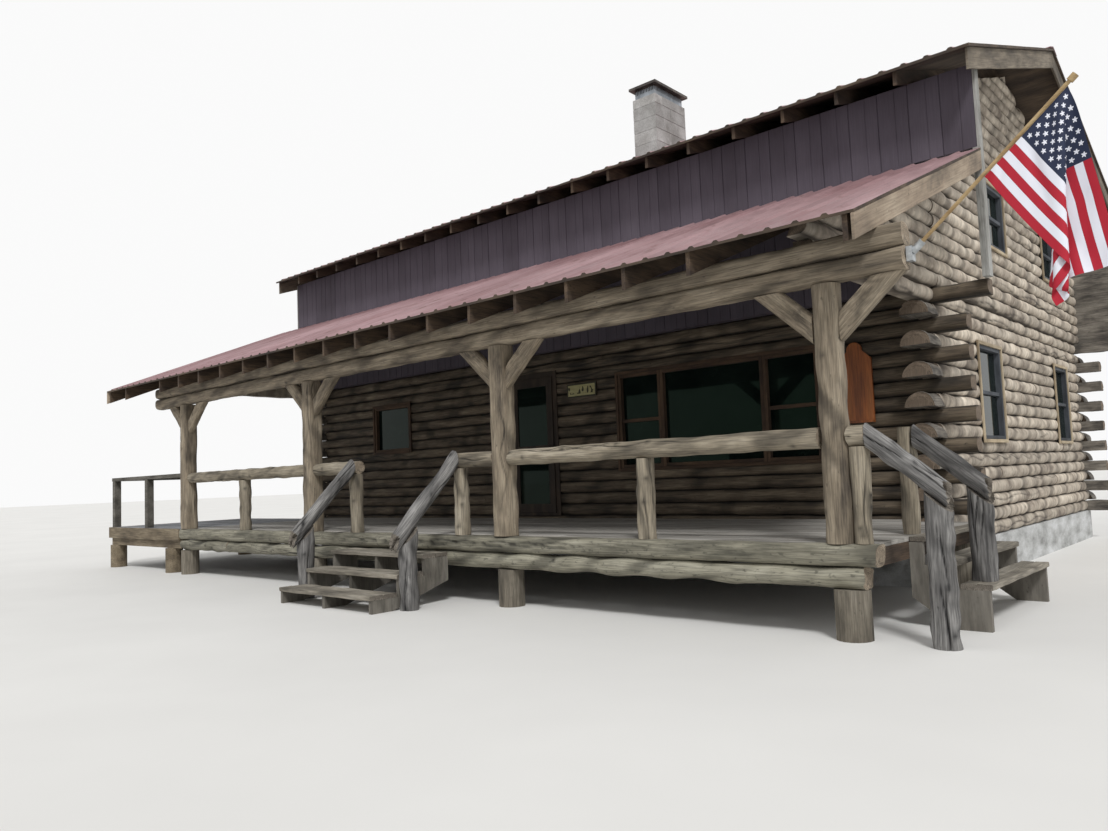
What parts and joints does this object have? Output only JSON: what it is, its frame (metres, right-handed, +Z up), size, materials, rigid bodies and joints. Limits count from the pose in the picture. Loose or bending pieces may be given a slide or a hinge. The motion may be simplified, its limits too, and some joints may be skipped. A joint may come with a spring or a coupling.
{
  "type": "log cabin",
  "caption": "Log cabin with an upper storey, a full front porch on log posts, steps with log handrails and a side deck.",
  "frame": {"origin": "on the ground under the middle of the log body", "axes": "+X along the porch front to the right seen from the porch side, -Y towards the porch side, +Z up"},
  "size_m": [15.8446, 11.605, 7.331],
  "materials": {
    "masonry": "rough concrete",
    "chimney_block": "rough block",
    "dark_metal": "matte",
    "wall_logs": "weathered stain",
    "dark_boards": "weathered stain",
    "weathered_wood": "weathered",
    "floor_boards": "weathered",
    "grey_boards": "weathered",
    "rafter_wood": "rough sawn",
    "roof_metal": "satin",
    "light_trim": "painted",
    "frame_paint": "painted",
    "clear_glass": "clear",
    "sign_paint": "painted",
    "board_stain": "varnished",
    "flag_cloth": "woven",
    "pole_metal": "satin"
  },
  "bodies": {
    "house": {"foundation": "masonry", "chimney": "chimney_block", "chimney_cap": "dark_metal", "flag_bracket": "dark_metal", "front_wall_left": "wall_logs", "front_wall_right": "wall_logs", "front_wall_through_logs": "wall_logs", "rear_wall": "wall_logs", "right_wall_lower": "wall_logs", "left_wall_lower": "wall_logs", "right_wall_upper": "wall_logs", "left_wall_upper": "wall_logs", "porch_end_logs": "wall_logs", "upper_walls": "dark_boards", "header_logs": "weathered_wood", "porch_posts": "weathered_wood", "knee_braces": "weathered_wood", "porch_beam_logs": "weathered_wood", "porch_rails": "weathered_wood", "rail_posts": "weathered_wood", "step_handrails": "weathered_wood", "step_newels": "weathered_wood", "step_treads": "weathered_wood", "step_stringers": "weathered_wood", "porch_piers": "weathered_wood", "ground_floor": "floor_boards", "upper_floor": "floor_boards", "porch_deck": "floor_boards", "porch_joists": "floor_boards", "side_deck": "grey_boards", "side_deck_frame": "grey_boards", "side_deck_rails": "grey_boards", "main_rafters": "rafter_wood", "porch_rafters": "rafter_wood", "main_roof": "roof_metal", "ridge_cap": "roof_metal", "porch_roof": "roof_metal", "corner_trims": "light_trim", "rake_boards": "light_trim", "window_frames": "frame_paint", "door_frame": "frame_paint", "window_glass": "clear_glass", "wall_sign": "sign_paint", "wall_board": "board_stain", "flag": "flag_cloth", "flag_pole": "pole_metal"},
    "door": {"front_door": "frame_paint", "front_door_glass": "clear_glass"}
  },
  "joints": [
    {"name": "front_door_hinge", "type": "hinge", "parent": "house", "child": "door", "pos_m": [-0.469, -3.53, 1.8], "axis": [0, 0, -1], "range_deg": [0, 100]}
  ]
}
